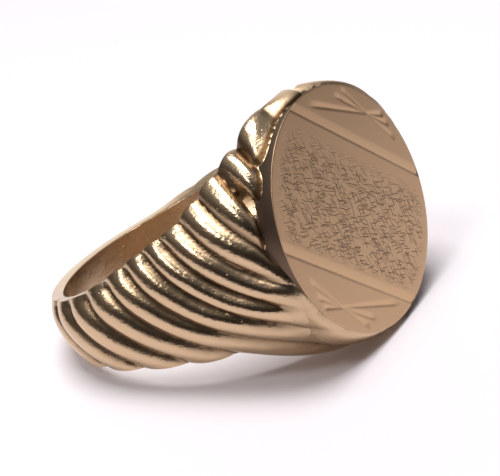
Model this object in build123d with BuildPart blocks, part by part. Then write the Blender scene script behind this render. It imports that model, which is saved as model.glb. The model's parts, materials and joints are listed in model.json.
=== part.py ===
"""Gents' signet ring with swirl-fluted shoulders, lying on its side.

Four pieces of gold are joined by four hard-solder seams: the engraved oval table, two fluted
shoulders that meet under it, and the plain base that closes the band at the back.

The ring is drawn in BORE, a plane through the middle of the finger bore whose normal is the bore's
axis and whose x runs out through the table. BORE itself leans, because the wide head and the narrow
back both touch the surface that the ring lies on, which is level in the part's own frame (+Z up).
The ring looks the same when it is turned half round its x, so the right shoulder is the left one
drawn in BORE_TURNED. Millimetres and degrees throughout; angles round the bore start at the head.
"""

from build123d import *
from math import atan, cos, degrees, radians, sin, sqrt, tan
import os

# Finger bore: ISO 8653 size 60, the inner circumference in millimetres.
bore_diameter = 19.1

# Shank. The base is the plain stretch at the back; the shoulders grow from it to the head.
base_sweep = 60.0
base_thickness = 1.0
base_width = 3.35
side_thickness = 1.7
shank_crown = 0.45

# Head, under the table.
head_width = 10.1
head_growth = 1.5
head_skew = 0.9
head_trim_depth = 4.0
seat_lip = 0.15

# Table: an ellipse, across the finger and along it, with its face this high above the bore.
table_rise = 3.0
table_across = 17.2
table_along = 15.4
table_thickness = 1.2
table_bevel = 0.2

# Flutes: V grooves that run aslant over each shoulder. The first is this far round from the table.
flute_count = 10
first_flute_gap = 1.58
flute_pitch = 2.0
flute_slope = 48.0
flute_depth = 0.3
flute_angle = 80.0
flute_length = 14.0

# Engraving: two cuts right across the table, and a star of three cuts beyond each.
cut_width = 0.16
cut_depth = 0.06
cut_slope = -41.4
cut_offset = 4.55
star_across = 5.3
star_along = 4.4
star_spread = 14.0
star_cut = 6.5

# Hard-solder seams.
seam = 0.08

# How far a cutter runs past what it cuts.
overcut = 1.0

bore_radius = bore_diameter / 2
table_height = bore_radius + table_rise
base_radius = bore_radius + base_thickness
side_radius = bore_radius + side_thickness
base_edge = 180 - base_sweep / 2
seat_height = table_height - table_thickness - seam

# The arc of the shoulders' crest, from square across at the bore's side up to the table's edge.
shoulder_drop = side_radius - table_across / 2
sweep_radius = (table_height**2 + shoulder_drop**2) / (2 * shoulder_drop)

# The lean puts the lowest points of the head and of the base on one level.
lean = atan((table_along - base_width) / 2 / (seat_height + base_radius - shank_crown))

BORE = Plane((0, 0, 0), x_dir=(cos(lean), 0, sin(lean)), z_dir=(-sin(lean), 0, cos(lean)))
BORE_TURNED = Plane(BORE.origin, x_dir=BORE.x_dir, z_dir=-BORE.z_dir)
TABLE_TOP = Plane(BORE.x_dir * table_height, x_dir=BORE.y_dir, z_dir=BORE.x_dir)
TABLE_SEAT = TABLE_TOP.offset(seat_height - table_height)


def across(frame, angle):
    """Plane through a frame's axis, at an angle from its x: x runs outward, y along the axis."""
    outward = frame.x_dir * cos(radians(angle)) + frame.y_dir * sin(radians(angle))
    return Plane(frame.origin, x_dir=outward, z_dir=outward.cross(frame.z_dir))


def crest_radius(angle):
    """Distance from the bore's axis to the crest of the shank."""
    turn = radians(angle)
    if angle >= 90:
        back = cos(turn) / cos(radians(base_edge))
        return side_radius - (side_radius - base_radius) * back**2
    centre = side_radius - sweep_radius
    shoulder = centre * sin(turn) + sqrt(sweep_radius**2 - (centre * cos(turn)) ** 2)
    return min(shoulder, (seat_height + overcut) / cos(turn))


def half_width(angle, side):
    """Half the shank's width inside. Side is 1 for the edge that the swirl widens, else -1."""
    back = cos(radians(base_edge))
    along = (cos(radians(angle)) - back) / (1 - back)
    even = (base_width + (head_width - base_width) * along**head_growth) / 2
    return even + side * head_skew * sin(radians(angle)) * along**4


def flare(angle):
    """How much wider than inside the head is at the table's seat."""
    widest = table_along / 2 + seat_lip - head_width / 2
    return max(0, 1 - (angle / 60) ** 2) * widest


def section(frame, angle):
    """Sketch the shank's section: straight at the bore, crowned outside."""
    upper = half_width(angle, 1)
    lower = half_width(angle, -1)
    outer = crest_radius(angle) - shank_crown
    inner = bore_radius - overcut
    rim_upper = (outer, upper + flare(angle))
    rim_lower = (outer, -lower - flare(angle))
    with BuildSketch(across(frame, -angle)) as profile:
        with BuildLine():
            Polyline(rim_upper, (inner, upper), (inner, -lower), rim_lower)
            ThreePointArc(rim_lower, (outer + shank_crown, 0), rim_upper)
        make_face()
    return profile.sketch


def flute_angles():
    """Angles at which the flutes cross the middle of the shank, from the head backwards."""
    angles = [degrees(atan(table_across / 2 / table_height)) + first_flute_gap]
    while len(angles) < flute_count:
        angles.append(angles[-1] + degrees(flute_pitch / crest_radius(angles[-1])))
    return angles


def flute_cutter(frame, angle):
    """V-section arc that crosses the crest aslant and keeps its depth over the round of the shank."""
    crest = across(frame, -angle).x_dir * crest_radius(angle)
    centre = frame.y_dir * (sweep_radius - side_radius) if angle < 90 else frame.origin
    out = (crest - centre).normalized()
    along = out.cross(frame.z_dir) * cos(radians(flute_slope)) + frame.z_dir * sin(radians(flute_slope))
    round_the_bore = cos(radians(flute_slope)) ** 2 / (crest - centre).length
    over_the_crown = sin(radians(flute_slope)) ** 2 * 2 * shank_crown / half_width(angle, 0) ** 2
    bend = 1 / (round_the_bore + over_the_crown)
    groove = Plane(crest - out * (flute_depth + bend), x_dir=out, z_dir=out.cross(along))
    height = flute_depth + overcut
    half_mouth = height * tan(radians(flute_angle / 2))
    reach = min(degrees(flute_length / bend), 150)
    with BuildPart() as cutter:
        with BuildSketch(across(groove, -reach / 2)):
            Polygon((bend, 0), (bend + height, -half_mouth), (bend + height, half_mouth), align=None)
        revolve(axis=Axis(groove.origin, groove.z_dir), revolution_arc=reach)
    return cutter.part


# What every piece leaves clear for the finger.
with BuildPart() as finger:
    with BuildSketch(BORE):
        Circle(bore_radius)
    extrude(amount=table_along, both=True)

# What the shoulders leave clear beyond the table's seat, and round it outside an oval cone.
with BuildPart() as head_trim:
    with BuildSketch(TABLE_SEAT):
        Circle(table_across)
    extrude(amount=overcut + table_thickness)
    with BuildSketch(TABLE_SEAT):
        Circle(table_across)
    extrude(amount=-head_trim_depth)
    with BuildSketch(TABLE_SEAT):
        Ellipse(table_across / 2, table_along / 2)
    with BuildSketch(TABLE_SEAT.offset(-head_trim_depth)):
        Ellipse(table_across / 2 + head_trim_depth, table_along / 2 + head_trim_depth)
    loft(ruled=True, mode=Mode.SUBTRACT)

# The two fluted shoulders, each from the head's middle back to the base.
stations = [0, 10, 20, 30, 40, 52, 66, 84, 104, 126, base_edge]
for label, frame in (("left_shoulder", BORE), ("right_shoulder", BORE_TURNED)):
    with BuildPart() as shoulder:
        loft([section(frame, angle) for angle in stations])
        for angle in flute_angles():
            add(flute_cutter(frame, angle), mode=Mode.SUBTRACT)
        with BuildSketch(across(frame, 0)):
            Rectangle(4 * table_height, 2 * table_along)
        extrude(amount=seam / 2, both=True, mode=Mode.SUBTRACT)
        add(finger.part, mode=Mode.SUBTRACT)
        add(head_trim.part, mode=Mode.SUBTRACT)
    shoulder.part.label = label
    os.makedirs("parts", exist_ok=True)
    export_step(shoulder.part, f"parts/{label}.step")

# The seam between the shoulders, under the table.
with BuildPart() as head_solder:
    extrude(section(BORE, 0), amount=seam / 2, both=True)
    add(finger.part, mode=Mode.SUBTRACT)
    add(head_trim.part, mode=Mode.SUBTRACT)
head_solder.part.label = "head_solder"
export_step(head_solder.part, "parts/head_solder.step")

# The plain base of the shank, with a seam's thickness left free at each end.
with BuildPart() as shank_base:
    revolve(section(BORE, base_edge), axis=Axis(BORE.origin, BORE.z_dir), revolution_arc=-base_sweep)
    for frame in (BORE, BORE_TURNED):
        with BuildSketch(across(frame, -base_edge)):
            with Locations((base_radius, 0)):
                Rectangle(4 * base_thickness, 2 * base_width)
        extrude(amount=seam, mode=Mode.SUBTRACT)
    add(finger.part, mode=Mode.SUBTRACT)
shank_base.part.label = "shank_base"
export_step(shank_base.part, "parts/shank_base.step")

# The seam at each end of the base.
for label, frame in (("left_shank_solder", BORE), ("right_shank_solder", BORE_TURNED)):
    with BuildPart() as shank_solder:
        extrude(section(frame, base_edge), amount=seam)
        add(finger.part, mode=Mode.SUBTRACT)
    shank_solder.part.label = label
    export_step(shank_solder.part, f"parts/{label}.step")

# The solder that the table sits on.
with BuildPart() as table_solder:
    with BuildSketch(TABLE_SEAT):
        Ellipse(table_across / 2, table_along / 2)
    extrude(amount=seam)
table_solder.part.label = "table_solder"
export_step(table_solder.part, "parts/table_solder.step")

# The engraved table.
with BuildPart() as signet_table:
    with BuildSketch(TABLE_TOP):
        Ellipse(table_across / 2, table_along / 2)
    extrude(amount=-table_thickness)
    chamfer(signet_table.edges().sort_by(Axis(TABLE_TOP.origin, TABLE_TOP.z_dir))[-1], table_bevel)
    with BuildSketch(TABLE_TOP):
        for side in (1, -1):
            turn = radians(cut_slope)
            with Locations((-side * cut_offset * sin(turn), side * cut_offset * cos(turn))):
                Rectangle(2 * table_across, cut_width, rotation=cut_slope)
            with Locations((side * star_across, side * star_along)):
                for spread in (-star_spread, 0, star_spread):
                    Rectangle(star_cut, cut_width, rotation=cut_slope + spread)
    extrude(amount=-cut_depth, mode=Mode.SUBTRACT)
signet_table.part.label = "signet_table"
export_step(signet_table.part, "parts/signet_table.step")
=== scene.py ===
"""Signet ring in 9 carat gold: swirl-fluted shoulders, a plain base and an engraved oval table.

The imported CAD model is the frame. Its mounts give the finger bore and the table's face, and every
mesh here is worked out in the ring's own axes (x out through the table, z along the bore) and then
leaned over with them, because the ring lies on its side.
"""

import json
import logging
import math
from dataclasses import dataclass, replace
from enum import Enum
from typing import ClassVar

import bmesh
import bpy
from mathutils import Matrix, Vector


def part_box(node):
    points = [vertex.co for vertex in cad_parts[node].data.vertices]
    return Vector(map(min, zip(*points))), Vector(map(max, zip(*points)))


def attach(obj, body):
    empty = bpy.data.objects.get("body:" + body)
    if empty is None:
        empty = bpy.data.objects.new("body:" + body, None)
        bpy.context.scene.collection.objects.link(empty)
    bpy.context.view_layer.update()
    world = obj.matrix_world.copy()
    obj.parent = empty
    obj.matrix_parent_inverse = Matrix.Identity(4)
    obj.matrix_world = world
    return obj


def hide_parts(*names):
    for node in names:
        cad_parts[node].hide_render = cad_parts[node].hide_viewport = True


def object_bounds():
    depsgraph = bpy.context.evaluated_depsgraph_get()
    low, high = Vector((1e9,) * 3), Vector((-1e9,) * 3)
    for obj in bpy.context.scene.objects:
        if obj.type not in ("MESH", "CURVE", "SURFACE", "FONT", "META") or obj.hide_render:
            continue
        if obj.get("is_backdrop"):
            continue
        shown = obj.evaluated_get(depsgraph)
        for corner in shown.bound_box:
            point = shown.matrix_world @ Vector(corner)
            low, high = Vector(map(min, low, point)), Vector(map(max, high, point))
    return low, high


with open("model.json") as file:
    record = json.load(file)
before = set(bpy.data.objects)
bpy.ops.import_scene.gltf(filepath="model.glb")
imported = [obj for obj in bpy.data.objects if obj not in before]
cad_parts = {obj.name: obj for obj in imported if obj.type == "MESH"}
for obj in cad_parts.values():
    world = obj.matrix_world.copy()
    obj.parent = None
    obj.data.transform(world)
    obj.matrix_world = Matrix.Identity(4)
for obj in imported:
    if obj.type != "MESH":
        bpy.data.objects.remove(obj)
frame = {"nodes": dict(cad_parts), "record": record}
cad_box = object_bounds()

LOG = logging.getLogger("signet_ring")
MM = 0.001
WELD = 0.0005 * MM
BODY = "root"


class Slot(Enum):
    """The record's material slots."""

    POLISHED = "polished_gold"
    WORKED = "worked_gold"
    SOLDER = "hard_solder"


def linear(colour: str) -> tuple[float, float, float, float]:
    """Turn an sRGB hex colour into linear light.

    Args:
        colour: six hex digits.

    Returns:
        Linear red, green, blue and an alpha of one.
    """
    parts = [int(colour[i : i + 2], 16) / 255 for i in (0, 2, 4)]
    lit = [p / 12.92 if p <= 0.04045 else ((p + 0.055) / 1.055) ** 2.4 for p in parts]
    return (lit[0], lit[1], lit[2], 1.0)


def smooth(low: float, high: float, value: float) -> float:
    """Ease from nought at low to one at high."""
    t = min(1.0, max(0.0, (value - low) / (high - low)))
    return t * t * (3 - 2 * t)


def add_node(tree: bpy.types.NodeTree, kind: str, settings: dict | None = None, **links) -> bpy.types.Node:
    """Add a shader node with its settings and links.

    Args:
        tree: the node tree to add to.
        kind: the node's type name.
        settings: attribute names, or socket names written as "in:name", with their values.
        links: input names or numbers, as s0, s1 or the name with _ for spaces, to output sockets.

    Returns:
        The new node.
    """
    node = tree.nodes.new(kind)
    for name, value in (settings or {}).items():
        if name.startswith("in:"):
            key = name[3:]
            node.inputs[int(key) if key.isdigit() else key].default_value = value
        else:
            setattr(node, name, value)
    for name, source in links.items():
        key = int(name[1:]) if name[0] == "s" and name[1:].isdigit() else name.replace("_", " ")
        tree.links.new(source, node.inputs[key])
    return node


def attribute(tree: bpy.types.NodeTree, name: str) -> bpy.types.NodeSocket:
    """Read one of the mesh's own attributes."""
    return add_node(tree, "ShaderNodeAttribute", {"attribute_name": name}).outputs["Fac"]


def noise(
    tree: bpy.types.NodeTree,
    place: bpy.types.NodeSocket,
    spacing: float,
    detail: float,
    roughness: float = 0.5,
) -> bpy.types.NodeSocket:
    """Add a cloudy pattern.

    Args:
        tree: the node tree to add to.
        place: the coordinates to read.
        spacing: about how far apart the lumps lie, in metres.
        detail: how many finer layers it has.
        roughness: how strong each finer layer is.

    Returns:
        Its value, from nought to one.
    """
    settings = {"in:Scale": 1 / spacing, "in:Detail": detail, "in:Roughness": roughness}
    return add_node(tree, "ShaderNodeTexNoise", settings, Vector=place).outputs["Fac"]


def arithmetic(tree: bpy.types.NodeTree, operation: str, *values) -> bpy.types.NodeSocket:
    """Work out one value from others.

    Args:
        tree: the node tree to add to.
        operation: the Math node's operation.
        values: its inputs in order, each a number or an output socket.

    Returns:
        The result.
    """
    node = add_node(tree, "ShaderNodeMath", {"operation": operation})
    for number, value in enumerate(values):
        if isinstance(value, float):
            node.inputs[number].default_value = value
        else:
            tree.links.new(value, node.inputs[number])
    return node.outputs[0]


def spread(
    tree: bpy.types.NodeTree,
    value: bpy.types.NodeSocket,
    result: tuple[float, float],
    given: tuple[float, float] = (0.0, 1.0),
) -> bpy.types.NodeSocket:
    """Stretch a value from one range to another, and stop at the ends.

    Args:
        tree: the node tree to add to.
        value: what is stretched.
        result: the new range.
        given: the old range.

    Returns:
        The value in the new range.
    """
    settings = dict(zip(("in:From Min", "in:From Max", "in:To Min", "in:To Max"), (*given, *result)))
    return add_node(tree, "ShaderNodeMapRange", settings, Value=value).outputs[0]


def blend(
    tree: bpy.types.NodeTree,
    share: bpy.types.NodeSocket,
    first: str | bpy.types.NodeSocket,
    second: str,
) -> bpy.types.NodeSocket:
    """Mix two colours.

    Args:
        tree: the node tree to add to.
        share: how much of the second shows.
        first: the first colour, in hex digits or as an output socket.
        second: the second colour, in hex digits.

    Returns:
        The mixed colour.
    """
    node = add_node(tree, "ShaderNodeMix", {"data_type": "RGBA", "in:7": linear(second)}, s0=share)
    if isinstance(first, str):
        node.inputs[6].default_value = linear(first)
    else:
        tree.links.new(first, node.inputs[6])
    return node.outputs[2]


def bump(
    tree: bpy.types.NodeTree,
    height: bpy.types.NodeSocket,
    depth: float,
    strength: float | bpy.types.NodeSocket,
    normal: bpy.types.NodeSocket | None = None,
) -> bpy.types.NodeSocket:
    """Dent the surface.

    Args:
        tree: the node tree to add to.
        height: the pattern that dents it.
        depth: how deep a full dent is, in metres.
        strength: how much of that shows, from nought to one.
        normal: the surface as it was dented before.

    Returns:
        The dented surface's normal.
    """
    node = add_node(tree, "ShaderNodeBump", {"in:Distance": depth}, Height=height)
    if isinstance(strength, float):
        node.inputs["Strength"].default_value = strength
    else:
        tree.links.new(strength, node.inputs["Strength"])
    if normal is not None:
        tree.links.new(normal, node.inputs["Normal"])
    return node.outputs[0]


def new_material(name: str) -> tuple[bpy.types.Material, bpy.types.NodeTree, bpy.types.Node]:
    """Start a material with a Principled shader on its output.

    Args:
        name: the material's name.

    Returns:
        The material, its node tree and its shader.
    """
    material = bpy.data.materials.new(name)
    material.use_nodes = True
    tree = material.node_tree
    tree.nodes.clear()
    output = tree.nodes.new("ShaderNodeOutputMaterial")
    shader = tree.nodes.new("ShaderNodeBsdfPrincipled")
    tree.links.new(shader.outputs["BSDF"], output.inputs["Surface"])
    return material, tree, shader


@dataclass(frozen=True)
class PolishedGold:
    """Cast 9 carat gold, tumbled and buffed, then worn: bright crests, rougher hollows darkened with
    painted shade, fine pits.

    Three attributes of the shank's meshes say where each look goes. hollow is one at the bottom of a
    flute, where painted shade darkens the colour, and it also carries painted shade in the corner at the
    table's foot and inside the bore. matt is one where the table's finish runs out over the skin, and bore
    is one inside the finger bore, which wear has smoothed.
    """

    name: str = "polished_9ct_gold"
    crest_colour: str = "CDB190"
    # Dark end of the colour mix: random cloudy tone, and painted shade at the bottom of the flutes.
    tone_and_shade_colour: str = "574029"
    crest_roughness: float = 0.2
    hollow_roughness: float = 0.36
    matt_roughness: float = 0.2
    # How deep in a flute the painted shade starts.
    unshaded_depth: float = 0.33
    cloud_grime: float = 0.5
    cloud_spacing: float = 2.5 * MM
    cloud_depth: float = 0.12 * MM
    pit_spacing: float = 0.9 * MM
    pit_edge: tuple[float, float] = (0.04, 0.09)
    pit_depth: float = 0.03 * MM
    scuffing: float = 0.6
    bore_scuffing: float = 0.12
    scuff_spacing: float = 0.5 * MM
    scuff_depth: float = 0.04 * MM
    grain_spacing: float = 0.16 * MM
    grain_depth: float = 0.02 * MM

    def make(self) -> bpy.types.Material:
        """Build the material."""
        material, tree, shader = new_material(self.name)
        place = add_node(tree, "ShaderNodeTexCoord").outputs["Object"]
        cloud = noise(tree, place, self.cloud_spacing, 5.0, 0.6)
        # Painted shade darkens the deep part of each flute, the corner at the table's foot and the bore;
        # the cloud adds random tone.
        deep = arithmetic(tree, "SUBTRACT", attribute(tree, "hollow"), self.unshaded_depth)
        tone_and_shade = add_node(
            tree,
            "ShaderNodeMath",
            {"operation": "MULTIPLY_ADD", "in:1": self.cloud_grime, "use_clamp": True},
            s0=cloud,
            s2=deep,
        ).outputs[0]
        tree.links.new(
            blend(tree, tone_and_shade, self.crest_colour, self.tone_and_shade_colour), shader.inputs["Base Color"]
        )
        rough = spread(tree, tone_and_shade, (self.crest_roughness, self.hollow_roughness))
        dulled = arithmetic(tree, "MULTIPLY_ADD", attribute(tree, "matt"), self.matt_roughness, rough)
        tree.links.new(dulled, shader.inputs["Roughness"])
        shader.inputs["Metallic"].default_value = 1.0
        tree.links.new(self.wear(tree, place, cloud), shader.inputs["Normal"])
        return material

    def wear(
        self, tree: bpy.types.NodeTree, place: bpy.types.NodeSocket, cloud: bpy.types.NodeSocket
    ) -> bpy.types.NodeSocket:
        """Dent the surface with casting pits, the buff's slow waves, scuffs and a fine grain.

        Args:
            tree: the material's tree.
            place: coordinates on the piece, in metres.
            cloud: the pattern that the slow waves follow.

        Returns:
            The worn surface's normal.
        """
        pits = add_node(
            tree,
            "ShaderNodeTexVoronoi",
            {"in:Scale": 1 / self.pit_spacing, "feature": "F1"},
            Vector=place,
        ).outputs["Distance"]
        scuffs = noise(tree, place, self.scuff_spacing, 4.0, 0.7)
        grain = noise(tree, place, self.grain_spacing, 2.0)
        worn = spread(tree, attribute(tree, "bore"), (self.scuffing, self.bore_scuffing))
        normal = bump(tree, spread(tree, pits, (0.0, 1.0), self.pit_edge), self.pit_depth, 0.5)
        normal = bump(tree, cloud, self.cloud_depth, 0.35, normal)
        normal = bump(tree, scuffs, self.scuff_depth, worn, normal)
        return bump(tree, grain, self.grain_depth, worn, normal)


@dataclass(frozen=True)
class WorkedGold:
    """The table's gold: matted, with a hatched field of short graver strokes and bright cuts.

    The table's mesh has a flat map of its face, and three attributes. field is one where the face is
    hatched, cut is one at the bottom of a cut, and wall is one down the table's side, which is darkened
    with painted shade.
    """

    name: str = "matted_9ct_gold"
    colour: str = "CAA884"
    stroke_colour: str = "634D38"
    # Painted shade down the table's side.
    wall_shade_colour: str = "6A584A"
    bright_colour: str = "CFAC85"
    roughness: float = 0.4
    bright_roughness: float = 0.34
    grain_spacing: float = 0.09 * MM
    grain_depth: float = 0.012 * MM
    stroke_angles: tuple[float, ...] = (-88.0, -28.0, -100.0, -16.0, -76.0, -40.0)
    stroke_length: float = 1.05 * MM
    stroke_gap: float = 0.34 * MM
    stroke_side: tuple[float, float] = (0.05, 0.1)
    stroke_end: tuple[float, float] = (0.24, 0.34)
    stroke_depth: float = 0.04 * MM
    stroke_grime: float = 0.75
    missed_strokes: float = 0.45
    layer_shift: tuple[float, float] = (0.37 * MM, 0.71 * MM)
    sway: float = 0.3 * MM
    sway_spacing: float = 2.6 * MM

    def stroke_layer(
        self, tree: bpy.types.NodeTree, place: bpy.types.NodeSocket, number: int
    ) -> bpy.types.NodeSocket:
        """Lay strokes at one angle, each centred on its own cell's point, with some missed.

        Args:
            tree: the material's tree.
            place: coordinates on the table's face, in metres.
            number: which of the angles.

        Returns:
            A value that is one inside a stroke.
        """
        turned = add_node(
            tree,
            "ShaderNodeMapping",
            {
                "vector_type": "TEXTURE",
                "in:Location": (self.layer_shift[0] * number, self.layer_shift[1] * number, 0.0),
                "in:Rotation": (0.0, 0.0, math.radians(self.stroke_angles[number])),
                "in:Scale": (self.stroke_length, self.stroke_gap, 1.0),
            },
            Vector=place,
        ).outputs[0]
        cell = add_node(
            tree, "ShaderNodeTexVoronoi", {"voronoi_dimensions": "2D", "in:Scale": 1.0}, Vector=turned
        )
        offset = add_node(
            tree, "ShaderNodeVectorMath", {"operation": "SUBTRACT"}, s0=turned, s1=cell.outputs["Position"]
        ).outputs[0]
        along, across, _ = add_node(tree, "ShaderNodeSeparateXYZ", None, s0=offset).outputs
        thin = spread(tree, arithmetic(tree, "ABSOLUTE", across), (1.0, 0.0), self.stroke_side)
        short = spread(tree, arithmetic(tree, "ABSOLUTE", along), (1.0, 0.0), self.stroke_end)
        pick = add_node(tree, "ShaderNodeSeparateColor", None, s0=cell.outputs["Color"]).outputs[0]
        chosen = arithmetic(tree, "GREATER_THAN", pick, self.missed_strokes)
        return arithmetic(tree, "MULTIPLY", arithmetic(tree, "MULTIPLY", thin, short), chosen)

    def strokes(self, tree: bpy.types.NodeTree, place: bpy.types.NodeSocket) -> bpy.types.NodeSocket:
        """Lay short, slightly swaying strokes at every angle.

        Args:
            tree: the material's tree.
            place: coordinates on the table's face, in metres.

        Returns:
            A value that is one inside a stroke.
        """
        drift = add_node(
            tree, "ShaderNodeTexNoise", {"in:Scale": 1 / self.sway_spacing, "in:Detail": 1.0}, Vector=place
        ).outputs["Color"]
        drift = add_node(
            tree, "ShaderNodeVectorMath", {"operation": "SCALE", "in:Scale": self.sway}, s0=drift
        ).outputs[0]
        place = add_node(tree, "ShaderNodeVectorMath", {"operation": "ADD"}, s0=place, s1=drift).outputs[0]
        total = self.stroke_layer(tree, place, 0)
        for number in range(1, len(self.stroke_angles)):
            total = arithmetic(tree, "MAXIMUM", total, self.stroke_layer(tree, place, number))
        return total

    def make(self) -> bpy.types.Material:
        """Build the material."""
        material, tree, shader = new_material(self.name)
        face = add_node(tree, "ShaderNodeUVMap", {"uv_map": "face"}).outputs[0]
        place = add_node(tree, "ShaderNodeTexCoord").outputs["Object"]
        cut = attribute(tree, "cut")
        hatch = arithmetic(tree, "MULTIPLY", self.strokes(tree, face), attribute(tree, "field"))
        colour = blend(tree, cut, self.colour, self.bright_colour)
        stroked = arithmetic(tree, "MULTIPLY", hatch, self.stroke_grime)
        colour = blend(tree, stroked, colour, self.stroke_colour)
        # Painted shade: the table's side is darkened.
        colour = blend(tree, attribute(tree, "wall"), colour, self.wall_shade_colour)
        tree.links.new(colour, shader.inputs["Base Color"])
        rough = spread(tree, cut, (self.roughness, self.bright_roughness))
        tree.links.new(rough, shader.inputs["Roughness"])
        shader.inputs["Metallic"].default_value = 1.0
        grain = noise(tree, place, self.grain_spacing, 3.0, 0.65)
        matting = bump(tree, grain, self.grain_depth, 0.3)
        raised = arithmetic(tree, "SUBTRACT", 1.0, hatch)
        tree.links.new(bump(tree, raised, self.stroke_depth, 0.8, matting), shader.inputs["Normal"])
        return material


@dataclass(frozen=True)
class HardSolder:
    """Gold hard solder, a shade paler and greyer than the gold that it joins."""

    name: str = "gold_hard_solder"
    colour: str = "C6AA88"
    roughness: float = 0.26
    uneven: float = 0.08
    grain_spacing: float = 0.2 * MM
    grain_depth: float = 0.01 * MM

    def make(self) -> bpy.types.Material:
        """Build the material."""
        material, tree, shader = new_material(self.name)
        place = add_node(tree, "ShaderNodeTexCoord").outputs["Object"]
        grain = noise(tree, place, self.grain_spacing, 3.0)
        rough = spread(tree, grain, (self.roughness - self.uneven, self.roughness + self.uneven))
        tree.links.new(rough, shader.inputs["Roughness"])
        shader.inputs["Base Color"].default_value = linear(self.colour)
        shader.inputs["Metallic"].default_value = 1.0
        tree.links.new(bump(tree, grain, self.grain_depth, 0.3), shader.inputs["Normal"])
        return material


@dataclass
class RingForm:
    """The ring's shape in its own axes, in millimetres. Angles are degrees round the bore.

    The shape is drawn for the left shoulder, whose angles run back from the head as positive
    numbers. Half a turn about the ring's x gives the right shoulder. Its upper side is the one at
    positive distances along the bore's axis.

    The table stands proud of the shoulder on the upper side, by step, with the corner filled out as
    far as foot. On the lower side the two run level, but for flush_step. flare, the lobes, skew and
    belly widen the skin past its even taper. brow lifts the shoulder behind the table's lower half,
    and crease is how softly that meets the table's level. flutes are the grooves' places round the
    bore, where they cross its middle.
    """

    bore_radius: float
    table_height: float
    table_across: float
    table_along: float
    axis_x: Vector
    axis_z: Vector
    base_edge: float = 150.0
    base_thickness: float = 1.0
    base_width: float = 3.35
    side_thickness: float = 1.7
    head_width: float = 10.1
    table_thickness: float = 1.2
    seam: float = 0.08
    step: float = 0.8
    flush_step: float = 0.01
    foot: float = 0.75
    foot_fill: float = 0.55
    flare: float = 2.7
    flare_end: float = 56.0
    upper_lobe: float = 0.05
    lower_lobe: float = 0.05
    bore_flare: float = 0.85
    bore_flare_end: float = 60.0
    brow: float = 0.5
    crease: float = 0.4
    skew: float = 0.66
    lower_skew: float = 0.3
    belly: float = 0.45
    base_swell: float = 0.1
    edge_thickness: float = 0.8
    head_edge_growth: float = 1.1
    belly_edge_growth: float = 0.35
    clearance: float = 0.004
    swirl: float = 4.2
    swirl_bend: float = 0.3
    flute_depth: float = 0.42
    head_flute_depth: float = 0.68
    head_flute: float = 14.0
    rim_flutes: float = 0.0
    flush_flutes: float = 0.1
    wall_flutes: float = 0.2
    flutes: tuple[float, ...] = (
        (-70.0, -52.0, -35.0, -18.5, -1.5, 12.9, 21.3, 31.0, 40.0, 48.6)
        + (57.0, 67.0, 78.0, 90.7, 104.5, 119.0, 133.0, 147.0, 161.0, 175.0, 189.0)
    )

    def __post_init__(self) -> None:
        """Work out the sizes that follow from the others."""
        self.side_radius = self.bore_radius + self.side_thickness
        self.base_radius = self.bore_radius + self.base_thickness
        drop = self.side_radius - self.table_across / 2
        self.sweep_radius = (self.table_height**2 + drop**2) / (2 * drop)
        self.seat_height = self.table_height - self.table_thickness - self.seam

    def placed(self, spot: Vector) -> Vector:
        """Turn a point in the ring's axes, in millimetres, into one in the frame, in metres."""
        axis_y = self.axis_z.cross(self.axis_x)
        return (self.axis_x * spot.x + axis_y * spot.y + self.axis_z * spot.z) * MM

    def crest(self, angle: float) -> float:
        """Distance from the bore's axis to the crest of the shank."""
        turn = math.radians(angle)
        if angle >= self.base_edge:
            return self.base_radius
        if angle >= 90:
            back = math.cos(turn) / math.cos(math.radians(self.base_edge))
            return self.side_radius - (self.side_radius - self.base_radius) * back**2
        centre = self.side_radius - self.sweep_radius
        sweep = centre * math.sin(turn) + math.sqrt(self.sweep_radius**2 - (centre * math.cos(turn)) ** 2)
        return min(sweep, self.table_height / math.cos(turn))

    def even_half(self, angle: float) -> float:
        """Half the shank's width where nothing widens it."""
        back = math.cos(math.radians(self.base_edge))
        along = max(0.0, (math.cos(math.radians(angle)) - back) / (1 - back))
        return (self.base_width + (self.head_width - self.base_width) * along**1.5) / 2

    def bore_half(self, angle: float) -> float:
        """Half the shank's width at the bore."""
        return self.even_half(angle) + self.bore_flare * max(0.0, 1 - (angle / self.bore_flare_end) ** 2)

    def edge_half(self, angle: float, side: int) -> float:
        """How far along the bore's axis the outer skin reaches, on the side that is asked for."""
        flare = self.flare * max(0.0, 1 - (angle / self.flare_end) ** 2) ** 1.3
        lobe = (self.upper_lobe if side > 0 else self.lower_lobe) * (1 - smooth(12, 34, angle))
        skew = self.skew * smooth(4, 28, angle) * (1 - smooth(45, 105, angle))
        belly = 0.0
        if side < 0:
            skew *= self.lower_skew
            belly = self.belly * smooth(6, 30, angle) * (1 - smooth(110, 146, angle))
        return self.even_half(angle) + flare + lobe + side * skew + belly

    def table_half(self, angle: float) -> float:
        """Half the table's length along the bore's axis, where a plane at this angle cuts it."""
        across = self.table_height * math.tan(math.radians(min(angle, 89))) / (self.table_across / 2)
        return self.table_along / 2 * math.sqrt(max(0.0, 1 - across**2))

    def beyond_table(self, across: float, along: float) -> float:
        """How far outside the table's oval a place lies, as a share of the oval's size."""
        return math.hypot(across / (self.table_across / 2), along / (self.table_along / 2)) - 1

    def upper_side(self, along: float) -> float:
        """How fully a place belongs to the upper side, where the table stands proud."""
        return smooth(-2.2, 1.4, along)

    def step_height(self, angle: float, along: float) -> float:
        """How far below the table's face the skin meets it: a step on the upper side only."""
        across = self.table_height * math.tan(math.radians(min(angle, 60)))
        wall = self.upper_side(along) * smooth(0.3, 3.0, across)
        out = self.beyond_table(across, along)
        foot = min(1.0, max(0.0, 1 - out * self.table_along / 2 / self.foot) ** 2)
        return self.flush_step + (self.step - self.flush_step) * wall * (1 - self.foot_fill * foot)

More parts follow.
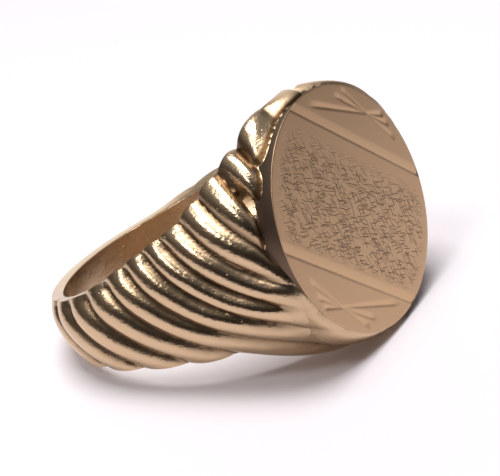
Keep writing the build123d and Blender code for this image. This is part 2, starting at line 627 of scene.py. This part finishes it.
    def skin(self, angle: float, share: float) -> Vector:
        """Point of the outer skin before it is fluted.

        Args:
            angle: degrees back from the head.
            share: from -1 at the lower edge to 1 at the upper one.

        Returns:
            Radius from the bore's axis, angle, and distance along the axis.
        """
        side = 1 if share > 0 else -1
        edge = self.edge_half(angle, side)
        along = share * edge
        turn = math.radians(angle)
        covered = self.table_half(angle)
        edge_radius = self.bore_radius + self.edge_thickness
        edge_radius += self.head_edge_growth * (1 - smooth(36, 80, angle))
        if side < 0:
            edge_radius += self.belly_edge_growth * smooth(36, 70, angle) * (1 - smooth(105, 146, angle))
        top = self.crest(angle) + self.base_swell * smooth(110, 150, angle)
        if angle < 75:
            flush = 1 - self.upper_side(along)
            top += self.brow * flush * smooth(15, 34, angle) * (1 - smooth(38, 75, angle))
            level = (self.table_height - self.step_height(angle, along)) / math.cos(turn)
            soft = self.crease * (0.1 + 0.9 * smooth(24, 42, angle))
            top = min(top, level) - soft * math.log1p(math.exp(-abs(top - level) / soft))
        fall = max(0.0, abs(along) - covered) / max(0.05, edge - covered)
        return Vector((top - (top - edge_radius) * fall**2.3, angle, along))

    def point(self, polar: Vector) -> Vector:
        """Turn radius, angle and distance along the axis into the ring's axes."""
        turn = math.radians(polar.y)
        return Vector((polar.x * math.cos(turn), -polar.x * math.sin(turn), polar.z))

    def swirled(self, angle: float, along: float) -> float:
        """Angle at which the flute through a place crosses the middle of the bore."""
        return angle - self.swirl * along + self.swirl_bend * along**2

    def flute(self, angle: float, along: float) -> float:
        """How deep the fluting lies below the skin, from nought on a rib to one in a groove."""
        level = self.swirled(angle, along)
        after = next((n for n, flute in enumerate(self.flutes) if flute > level), len(self.flutes) - 1)
        before, behind = self.flutes[max(0, after - 1)], self.flutes[max(1, after)]
        place = abs(2 * (level - before) / (behind - before) - 1)
        return min(1.0, place) ** 2.2

    def depth(self, angle: float, along: float) -> float:
        """Depth of the fluting in millimetres: deepest at the head's first lobe, then faint above it."""
        level = self.swirled(angle, along)
        near = math.exp(-(((level - self.head_flute) / 6) ** 2))
        deep = (self.head_flute_depth - self.flute_depth) * near
        return (self.flute_depth + deep) * (1 - 0.55 * (1 - smooth(0, 8, level)))

    def fluting(self, angle: float, along: float) -> float:
        """How strongly the skin is fluted: it dies out by the base, at the rims and at the table."""
        share = abs(along) / self.edge_half(angle, 1 if along > 0 else -1)
        even = (1 - smooth(118, 144, angle)) * (1 - 0.4 * smooth(0.8, 1.0, share) * smooth(40, 60, angle))
        if angle > 55:
            return even
        out = self.beyond_table(self.table_height * math.tan(math.radians(angle)), along)
        if out <= 0:
            return 0.0
        upper = self.upper_side(along)
        rim = self.rim_flutes * smooth(0.75, 1.0, share)
        flush = self.flush_flutes + (1 - self.flush_flutes) * max(smooth(0.03, 0.4, out), rim)
        wall = self.wall_flutes + (1 - self.wall_flutes) * smooth(0.0, 0.16, out)
        return even * ((1 - upper) * flush + upper * wall)

    def matted(self, angle: float, spot: Vector) -> float:
        """How far the table's matt finish runs out over the skin at a point: only where they are level."""
        if spot.x < self.seat_height:
            return 0.0
        out = self.beyond_table(spot.y, spot.z)
        return (1 - smooth(0.06, 0.26, out)) * (1 - smooth(-2.2, -0.6, spot.z) * smooth(4, 12, angle))

    def foot_shade(self, angle: float, spot: Vector) -> float:
        """How much painted shade darkens a point in the corner at the foot of the table's wall."""
        if spot.x < self.seat_height or angle > 50:
            return 0.0
        out = self.beyond_table(spot.y, spot.z)
        return 1.6 * (1 - smooth(0.0, 0.06, out)) * smooth(-0.6, 1.5, spot.z)

    def fluted_skin(self, angle: float, share: float) -> tuple[Vector, float]:
        """Point of the fluted skin in the ring's axes, and how deep in a flute it lies.

        Args:
            angle: degrees back from the head.
            share: from -1 at the lower edge to 1 at the upper one.

        Returns:
            The point, and the hollow's depth from nought to one.
        """
        polar = self.skin(angle, share)
        spot = self.point(polar)
        hollow = self.flute(angle, polar.z) * self.fluting(angle, polar.z)
        if hollow <= 0:
            return spot, 0.0
        nudge_angle, nudge_share = 0.4, 0.01
        ahead = self.point(self.skin(angle + nudge_angle, share))
        ahead -= self.point(self.skin(angle - nudge_angle, share))
        over = self.point(self.skin(angle, min(1.0, share + nudge_share)))
        over -= self.point(self.skin(angle, max(-1.0, share - nudge_share)))
        normal = ahead.cross(over)
        if normal.length < 1e-9:
            return spot, hollow
        normal.normalize()
        if normal.dot(Vector((spot.x, spot.y, 0))) < 0:
            normal.negate()
        return spot - normal * self.depth(angle, polar.z) * hollow, hollow


@dataclass
class Piece:
    """A mesh piece of the ring, made with bmesh and shown in place of CAD nodes."""

    name: str
    nodes: tuple[str, ...]
    slot: Slot

    sharp_angle: ClassVar[float] = 40.0

    def trimmed(self, mesh: bpy.types.Mesh) -> bpy.types.Mesh:
        """Hand the mesh back as it is; pieces that are cut to fit another one override this."""
        return mesh

    def finish(self, shape: bmesh.types.BMesh, material: bpy.types.Material) -> bpy.types.Object:
        """Turn a bmesh into an object that rides on the ring's body.

        Args:
            shape: the finished shape, in metres in the frame.
            material: what it is made of.

        Returns:
            The new object.
        """
        mesh = bpy.data.meshes.new(self.name)
        shape.to_mesh(mesh)
        shape.free()
        mesh = self.trimmed(mesh)
        mesh.materials.clear()
        mesh.materials.append(material)
        for polygon in mesh.polygons:
            polygon.use_smooth = True
        mesh.set_sharp_from_angle(angle=math.radians(self.sharp_angle))
        piece = bpy.data.objects.new(self.name, mesh)
        bpy.context.scene.collection.objects.link(piece)
        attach(piece, BODY)
        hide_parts(*self.nodes)
        LOG.info("%s: %d faces, stands for %s", self.name, len(mesh.polygons), ", ".join(self.nodes))
        return piece


@dataclass
class ShankLength(Piece):
    """A length of the shank, closed at both ends, between two angles.

    Its outline starts at the skin's lower edge and runs over the skin, down the upper side, back
    through the bore and up the lower side. The shares are how much of the outline's points each
    takes, and the lip is the rounded corner between a side and the bore.
    """

    form: RingForm
    start: float
    end: float
    turned: bool = False
    rows: int = 250
    columns: int = 168
    skin_share: float = 0.66
    side_share: float = 0.06
    lip_width: float = 0.12
    lip_rise: float = 0.14
    # Painted shade inside the finger bore.
    bore_shade: float = 0.3

    def loop_point(self, angle: float, way: float) -> tuple[Vector, float]:
        """Point on the section's closed outline.

        Args:
            angle: degrees back from the head.
            way: from nought to one round the outline, which starts at the skin's lower edge.

        Returns:
            The point in the ring's axes, and the hollow's depth there.
        """
        form = self.form
        folded = angle if angle <= 180 else 360 - angle
        if way <= self.skin_share:
            spot, hollow = form.fluted_skin(folded, 2 * way / self.skin_share - 1)
        else:
            rest = way - self.skin_share
            half = form.bore_half(folded)
            bore_share = 1 - self.skin_share - 2 * self.side_share
            hollow = 0.0
            if rest < self.side_share or rest > self.side_share + bore_share:
                upper = rest < self.side_share
                part = rest / self.side_share if upper else (1 - way) / self.side_share
                side = 1 if upper else -1
                edge, hollow = form.fluted_skin(folded, side)
                inner = form.point(Vector((form.bore_radius, folded, side * (half - self.lip_width))))
                lip = form.point(Vector((form.bore_radius + self.lip_rise, folded, side * half)))
                spot = edge * (1 - part) ** 2 + lip * 2 * part * (1 - part) + inner * part**2
                hollow *= 1 - part
            else:
                part = (rest - self.side_share) / bore_share
                along = (half - self.lip_width) * (1 - 2 * part)
                spot = form.point(Vector((form.bore_radius, folded, along)))
        if angle > 180:
            spot = Vector((spot.x, -spot.y, spot.z))
        return spot, hollow

    def build(self, material: bpy.types.Material) -> bpy.types.Object:
        """Wrap a grid into the shank's skin, sides and bore, and close its ends.

        Args:
            material: what it is made of.

        Returns:
            The finished piece.
        """
        form = self.form
        shape = bmesh.new()
        bmesh.ops.create_grid(shape, x_segments=self.rows, y_segments=self.columns, size=1.0)
        hollow_layer = shape.verts.layers.float.new("hollow")
        matt_layer = shape.verts.layers.float.new("matt")
        bore_layer = shape.verts.layers.float.new("bore")
        half_seam = form.seam / 2
        for vert in shape.verts:
            angle = self.start + (self.end - self.start) * (vert.co.x + 1) / 2
            way = (vert.co.y + 1) / 2
            spot, hollow = self.loop_point(angle, way)
            if self.start == 0:
                spot.y = min(spot.y, -half_seam)
                # Painted shade in the corner at the foot of the table's wall.
                hollow = max(hollow, form.foot_shade(angle, spot))
                vert[matt_layer] = form.matted(angle, spot)
            in_bore = self.skin_share + self.side_share < way < 1 - self.side_share
            vert[bore_layer] = 1.0 if in_bore else 0.0
            # Painted shade: the bore gets a fixed darkening, the flute bottoms their depth.
            vert[hollow_layer] = self.bore_shade if in_bore else hollow
            if self.turned:
                spot = Vector((spot.x, -spot.y, -spot.z))
            vert.co = form.placed(spot)
        bmesh.ops.remove_doubles(shape, verts=shape.verts, dist=WELD)
        ends = [edge for edge in shape.edges if edge.is_boundary]
        bmesh.ops.holes_fill(shape, edges=ends, sides=0)
        bmesh.ops.recalc_face_normals(shape, faces=shape.faces)
        return self.finish(shape, material)


@dataclass
class FlutedShoulder(ShankLength):
    """Half of the shank with half of the head, cut down to a level seat for the table."""

    seat_sides: int = 256
    seat_headroom: float = 4.0

    def trimmed(self, mesh: bpy.types.Mesh) -> bpy.types.Mesh:
        """Sink the table's seat into the head.

        Args:
            mesh: the shoulder's whole mesh.

        Returns:
            The mesh with the seat cut away.
        """
        form = self.form
        shape = bmesh.new()
        bmesh.ops.create_circle(shape, cap_ends=True, segments=self.seat_sides, radius=1.0)
        lid = bmesh.ops.extrude_face_region(shape, geom=shape.faces[:])["geom"]
        raised = [v for v in lid if isinstance(v, bmesh.types.BMVert)]
        bmesh.ops.translate(shape, verts=raised, vec=(0, 0, 1.0))
        wide = form.table_across / 2 + form.clearance
        tall = form.table_along / 2 + form.clearance
        for vert in shape.verts:
            out = form.seat_height + self.seat_headroom * vert.co.z
            vert.co = form.placed(Vector((out, wide * vert.co.x, tall * vert.co.y)))
        bmesh.ops.recalc_face_normals(shape, faces=shape.faces)
        cutter_mesh = bpy.data.meshes.new("seat_cutter")
        shape.to_mesh(cutter_mesh)
        shape.free()
        blank = bpy.data.objects.new("blank", mesh)
        cutter = bpy.data.objects.new("seat_cutter", cutter_mesh)
        for item in (blank, cutter):
            bpy.context.scene.collection.objects.link(item)
        cut = blank.modifiers.new("seat", "BOOLEAN")
        cut.operation, cut.solver, cut.object = "DIFFERENCE", "EXACT", cutter
        state = bpy.context.evaluated_depsgraph_get()
        finished = bpy.data.meshes.new_from_object(
            blank.evaluated_get(state), preserve_all_data_layers=True, depsgraph=state
        )
        for item in (blank, cutter):
            bpy.data.objects.remove(item)
        bpy.data.meshes.remove(mesh)
        bpy.data.meshes.remove(cutter_mesh)
        finished.name = self.name
        return finished


@dataclass
class EngravedTable(Piece):
    """The oval table: two cuts right across it, a star beyond each, and a hatched field between.

    The cuts' places are how far each lies from the middle, square to their slope. star is where one
    star's centre lies, with the other opposite it. Each of its rays has an angle, a length towards
    the nearer cut and a length away from it.
    """

    form: RingForm
    grid: float = 0.08
    bevel: float = 0.03
    flush_bevel: float = 0.015
    cut_slope: float = -41.6
    upper_cut: float = 4.32
    lower_cut: float = -4.8
    slope_width: float = 0.62
    steep_width: float = 0.08
    cut_depth: float = 0.06
    ray_width: float = 0.12
    ray_widening: float = 0.3
    bevel_rounds: int = 4
    star: tuple[float, float] = (5.7, 4.05)
    star_rays: tuple[tuple[float, float, float], ...] = (
        (-56.0, 3.4, 2.9),
        (-41.6, 2.6, 3.6),
        (-27.0, 2.0, 6.4),
    )

    def slope_at(self, aside: float, width: float) -> float:
        """Depth of a bright cut: steep on one side of its bottom, a wide slope on the other.

        Args:
            aside: distance from the cut's bottom, towards the slope where it is positive.
            width: the slope's width.

        Returns:
            The depth, from nought to one.
        """
        if aside < -0.5 * self.steep_width:
            return max(0.0, 1.5 + aside / self.steep_width)
        return max(0.0, 1 - max(0.0, aside) / width)

    def cut_at(self, spot: Vector) -> float:
        """How deep the graver went at a point of the face, from nought to one."""
        slope = math.radians(self.cut_slope)
        across = Vector((-math.sin(slope), math.cos(slope)))
        deepest = 0.0
        for offset in (self.upper_cut, self.lower_cut):
            deepest = max(deepest, self.slope_at(spot.dot(across) - offset, self.slope_width))
        for side in (1, -1):
            away = spot - Vector(self.star) * side
            for angle, behind, ahead in self.star_rays:
                turn = math.radians(angle)
                along = Vector((math.cos(turn), math.sin(turn)))
                run = away.dot(along) * -side
                reach = ahead if run > 0 else behind
                share = abs(run) / reach
                if share >= 1:
                    continue
                strength = (0.45 + 0.45 * share) * (1 - smooth(0.8, 1.0, share))
                aside = away.x * -along.y + away.y * along.x
                width = self.ray_width + self.ray_widening * share
                deepest = max(deepest, strength * self.slope_at(aside, width))
        return deepest

    def bevel_at(self, turn: float) -> float:
        """Width of the table's bevel: wide where the table stands proud, a hair where it is level."""
        proud = smooth(0.0, 0.35, -math.sin(2 * turn))
        return self.flush_bevel + (self.bevel - self.flush_bevel) * proud

    def field_at(self, spot: Vector) -> float:
        """How strongly the face is hatched at a point: between the long cuts, off the edge."""
        slope = math.radians(self.cut_slope)
        aside = -spot.x * math.sin(slope) + spot.y * math.cos(slope)
        out = self.form.beyond_table(spot.x, spot.y)
        within = smooth(self.lower_cut + 0.5, self.lower_cut + 1.5, aside)
        within *= 1 - smooth(self.upper_cut - 2.2, self.upper_cut - 0.6, aside)
        return within * (1 - smooth(-0.16, -0.04, out))

    def rim_point(self, vert: bmesh.types.BMVert, out: float, down: float, sunk: float) -> Vector:
        """Place a point of the table's edge.

        Args:
            vert: a point in the same direction from the face's middle.
            out: how far across the bevel it lies, from nought to one.
            down: how far down the bevel it lies, from nought to one.
            sunk: how far down the side it lies, from nought to one.

        Returns:
            Its place across and along the face, and its height over it.
        """
        wide, tall = self.form.table_across / 2, self.form.table_along / 2
        turn = math.atan2(vert.co.y / tall, vert.co.x / wide)
        inset = self.bevel_at(turn)
        level = -inset * down - (self.form.table_thickness - inset) * sunk
        inset *= 1 - out
        return Vector(((wide - inset) * math.cos(turn), (tall - inset) * math.sin(turn), level))

    def build(self, material: bpy.types.Material) -> bpy.types.Object:
        """Clip a fine grid to the oval, cut it, and draw its edge down to the seat.

        Args:
            material: what it is made of.

        Returns:
            The finished piece.
        """
        form = self.form
        wide, tall = form.table_across / 2, form.table_along / 2
        shape = bmesh.new()
        half_steps = int(wide / self.grid) + 1
        slope = math.radians(self.cut_slope)
        bmesh.ops.create_grid(
            shape,
            x_segments=2 * half_steps,
            y_segments=2 * half_steps,
            size=half_steps * self.grid,
            matrix=Matrix.Rotation(slope, 4, "Z"),
        )
        trim = self.bevel + 0.9 * self.grid
        outside = [v for v in shape.verts if math.hypot(v.co.x / (wide - trim), v.co.y / (tall - trim)) > 1]
        bmesh.ops.delete(shape, geom=outside, context="VERTS")
        cut_layer = shape.verts.layers.float.new("cut")
        field_layer = shape.verts.layers.float.new("field")
        wall_shade_layer = shape.verts.layers.float.new("wall")
        rim = [e for e in shape.edges if e.is_boundary]
        ring = bmesh.ops.extrude_edge_only(shape, edges=rim)["geom"]
        rim = [e for e in ring if isinstance(e, bmesh.types.BMEdge)]
        for vert in (v for v in ring if isinstance(v, bmesh.types.BMVert)):
            vert.co = self.rim_point(vert, 0.0, 0.0, 0.0)
        for vert in shape.verts:
            spot = Vector((vert.co.x, vert.co.y))
            vert[cut_layer] = self.cut_at(spot)
            vert[field_layer] = self.field_at(spot)
            vert.co.z = -self.cut_depth * vert[cut_layer]
        turns = [math.pi / 2 * (n + 1) / self.bevel_rounds for n in range(self.bevel_rounds)]
        drops = [(math.sin(turn), 1 - math.cos(turn), 0.0) for turn in turns]
        for out, down, sunk in [*drops, (1.0, 1.0, 0.5), (1.0, 1.0, 1.0)]:
            ring = bmesh.ops.extrude_edge_only(shape, edges=rim)["geom"]
            rim = [e for e in ring if isinstance(e, bmesh.types.BMEdge)]
            for vert in (v for v in ring if isinstance(v, bmesh.types.BMVert)):
                vert.co = self.rim_point(vert, out, down, sunk)
                vert[cut_layer] = vert[field_layer] = 0.0
                # Marks the table's side for its painted shade.
                vert[wall_shade_layer] = 1.0 if down > 0.99 else 0.0
        bmesh.ops.holes_fill(shape, edges=rim, sides=0)
        face_map = shape.loops.layers.uv.new("face")
        for polygon in shape.faces:
            for loop in polygon.loops:
                loop[face_map].uv = (loop.vert.co.x * MM, loop.vert.co.y * MM)
        for vert in shape.verts:
            vert.co = form.placed(Vector((form.table_height + vert.co.z, vert.co.x, vert.co.y)))
        bmesh.ops.recalc_face_normals(shape, faces=shape.faces)
        return self.finish(shape, material)


@dataclass
class SignetRing:
    """The whole ring, built round the CAD model's mounts.

    The near shoulder's lobes stand out over the table's step, and the far shoulder's rim shows past
    the table with its flutes. Each pair of lobes is an upper and a lower one.
    """

    form: RingForm
    left_lobes: tuple[float, float] = (0.68, 0.05)
    right_lobes: tuple[float, float] = (0.05, 0.38)
    base_rows: int = 60

    @classmethod
    def from_frame(cls) -> "SignetRing":
        """Read the bore, the table's face and the table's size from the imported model."""
        mounts = {mount["name"]: mount for mount in frame["record"]["mounts"]}
        bore, face = mounts["finger_bore"], mounts["signet_face"]
        low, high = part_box("signet_table")
        across = (high[1] - low[1]) / MM
        axis_x, axis_z = Vector(face["axis"]).normalized(), Vector(bore["axis"]).normalized()
        along = ((high[2] - low[2]) / MM - RingForm.table_thickness * axis_x.z) / axis_z.z
        return cls(
            RingForm(
                bore_radius=bore["dims"]["r_mm"],
                table_height=Vector(face["pos_m"]).length / MM,
                table_across=across,
                table_along=along,
                axis_x=axis_x,
                axis_z=axis_z,
            )
        )

    def build(self) -> None:
        """Make the gold pieces, and give the solder seams their finish."""
        form = self.form
        polished = PolishedGold().make()
        solder = HardSolder().make()
        seam_angle = math.degrees(form.seam / form.bore_radius)
        for side, turned in (("left", False), ("right", True)):
            upper, lower = self.right_lobes if turned else self.left_lobes
            FlutedShoulder(
                f"{side}_fluted_shoulder",
                (f"{side}_shoulder",),
                Slot.POLISHED,
                replace(form, upper_lobe=upper, lower_lobe=lower, rim_flutes=float(turned)),
                0.0,
                form.base_edge,
                turned,
            ).build(polished)
            ShankLength(
                f"{side}_base_seam",
                (f"{side}_shank_solder",),
                Slot.SOLDER,
                form,
                form.base_edge,
                form.base_edge + seam_angle,
                turned,
                rows=1,
            ).build(solder)
        ShankLength(
            "plain_base",
            ("shank_base",),
            Slot.POLISHED,
            form,
            form.base_edge + seam_angle,
            360 - form.base_edge - seam_angle,
            rows=self.base_rows,
        ).build(polished)
        EngravedTable("engraved_table", ("signet_table",), Slot.WORKED, form).build(WorkedGold().make())
        for name in ("table_solder", "head_solder"):
            for place in frame["nodes"][name].material_slots:
                place.material = solder
            LOG.info("%s: kept from the frame", name)


@dataclass
class Studio:
    """Pale floor, a dim sky, two soft lights and the camera.

    The sky is dimmer towards the viewer, and has a bright patch where the backdrop points.
    """

    form: RingForm
    camera_azimuth: float = -49.66
    camera_elevation: float = 13.21
    camera_roll: float = -26.6
    camera_distance: float = 95.5
    field_of_view: float = 19.86
    aim: tuple[float, float] = (0.0333, 0.0077)
    backdrop: tuple[float, float, float] = (-0.67, 0.74, 0.06)
    backdrop_light: float = 2.6
    sensor_width: float = 36.0
    floor_half: float = 1.5
    floor_colour: str = "F2ECF0"
    sky_strength: float = 0.45
    viewer_dimming: float = 0.12

    def towards_viewer(self) -> Vector:
        """Direction from the ring to whoever looks at it, in the ring's own axes."""
        turn, rise = math.radians(self.camera_azimuth), math.radians(self.camera_elevation)
        return Vector((math.cos(rise) * math.cos(turn), math.cos(rise) * math.sin(turn), math.sin(rise)))

    def camera(self) -> None:
        """Place the camera. Its angles are about the ring's own axes, and aim is its swing."""
        roll = math.radians(self.camera_roll)
        back = self.towards_viewer()
        right = (-back).cross(Vector((0, 0, 1))).normalized()
        up = right.cross(-back)
        level = right * math.cos(roll) + up * math.sin(roll)
        top = up * math.cos(roll) - right * math.sin(roll)
        look = (-back + level * self.aim[0] + top * self.aim[1]).normalized()
        level = look.cross(top).normalized()
        top = level.cross(look)
        columns = [self.form.placed(v) / MM for v in (level, top, -look)]
        lens = bpy.data.cameras.new("camera")
        lens.sensor_width = self.sensor_width
        lens.lens = self.sensor_width / 2 / math.tan(math.radians(self.field_of_view / 2))
        lens.clip_start = 0.01
        lens.clip_end = 10.0
        camera = bpy.data.objects.new("camera", lens)
        matrix = Matrix([[c[row] for c in columns] for row in range(3)]).to_4x4()
        matrix.translation = self.form.placed(back * self.camera_distance)
        camera.matrix_world = matrix
        bpy.context.scene.collection.objects.link(camera)
        bpy.context.scene.camera = camera

    def floor(self, level: float) -> None:
        """Lay the floor under the ring.

        Args:
            level: its height, in metres.
        """
        shape = bmesh.new()
        bmesh.ops.create_grid(shape, x_segments=1, y_segments=1, size=self.floor_half)
        bmesh.ops.translate(shape, verts=shape.verts, vec=(0, 0, level))
        mesh = bpy.data.meshes.new("floor")
        shape.to_mesh(mesh)
        shape.free()
        material, _, shader = new_material("matt_pale_floor")
        shader.inputs["Base Color"].default_value = linear(self.floor_colour)
        shader.inputs["Roughness"].default_value = 0.9
        mesh.materials.append(material)
        floor = bpy.data.objects.new("floor", mesh)
        bpy.context.scene.collection.objects.link(floor)
        floor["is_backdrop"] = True

    def sky(self) -> None:
        """Light from all round: brighter above, dim towards the horizon as in a plain room."""
        world = bpy.data.worlds.new("studio")
        world.use_nodes = True
        tree = world.node_tree
        tree.nodes.clear()
        ways = add_node(tree, "ShaderNodeTexCoord").outputs["Generated"]
        height = add_node(tree, "ShaderNodeSeparateXYZ", None, s0=ways).outputs[2]
        ramp = add_node(tree, "ShaderNodeValToRGB", None, s0=height)
        stops = ramp.color_ramp.elements
        stops[0].position, stops[0].color = 0.0, linear("6A6460")
        stops[1].position, stops[1].color = 0.8, linear("D8D8DC")
        middle = stops.new(0.35)
        middle.color = linear("8A8580")
        towards = self.form.placed(self.towards_viewer()).normalized()
        near = add_node(
            tree, "ShaderNodeVectorMath", {"operation": "DOT_PRODUCT", "in:1": tuple(towards)}, s0=ways
        ).outputs["Value"]
        shade = spread(tree, near, (1.0, self.viewer_dimming), (0.45, 0.85))
        dimmed = add_node(
            tree, "ShaderNodeVectorMath", {"operation": "SCALE"}, s0=ramp.outputs[0], Scale=shade
        )
        behind = add_node(
            tree, "ShaderNodeVectorMath", {"operation": "DOT_PRODUCT", "in:1": self.backdrop}, s0=ways
        ).outputs["Value"]
        bright = spread(tree, behind, (0.0, self.backdrop_light), (0.7, 0.97))
        lit = add_node(tree, "ShaderNodeVectorMath", {"operation": "ADD"}, s0=dimmed.outputs[0], s1=bright)
        glow = add_node(tree, "ShaderNodeBackground", {"in:Strength": self.sky_strength}, s0=lit.outputs[0])
        output = add_node(tree, "ShaderNodeOutputWorld", None, s0=glow.outputs[0])
        output.is_active_output = True
        bpy.context.scene.world = world

    def light(self, name: str, place: tuple[float, float, float], size: float, power: float) -> None:
        """Hang one soft square light that faces the ring.

        Args:
            name: the light's name.
            place: where it hangs, in metres.
            size: its side, in metres.
            power: in watts.
        """
        lamp = bpy.data.lights.new(name, "AREA")
        lamp.shape = "SQUARE"
        lamp.size = size
        lamp.energy = power
        holder = bpy.data.objects.new(name, lamp)
        holder.location = place
        holder.rotation_mode = "QUATERNION"
        holder.rotation_quaternion = (-Vector(place)).to_track_quat("-Z", "Y")
        bpy.context.scene.collection.objects.link(holder)

    def build(self, level: float) -> None:
        """Set up the camera, the floor and the lights.

        Args:
            level: the floor's height, in metres.
        """
        bpy.context.scene.view_settings.view_transform = "Standard"
        self.camera()
        self.floor(level)
        self.sky()
        self.light("overhead", (-0.03, 0.02, 0.5), 0.3, 2.3)
        self.light("window", (-0.06, -0.26, 0.38), 0.12, 0.45)


def main() -> None:
    """Build the ring and its studio."""
    logging.basicConfig(level=logging.INFO, format="%(message)s")
    ring = SignetRing.from_frame()
    ring.build()
    seen_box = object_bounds()
    Studio(ring.form).build(min(cad_box[0][2], seen_box[0][2]))


if __name__ == "__main__":
    main()
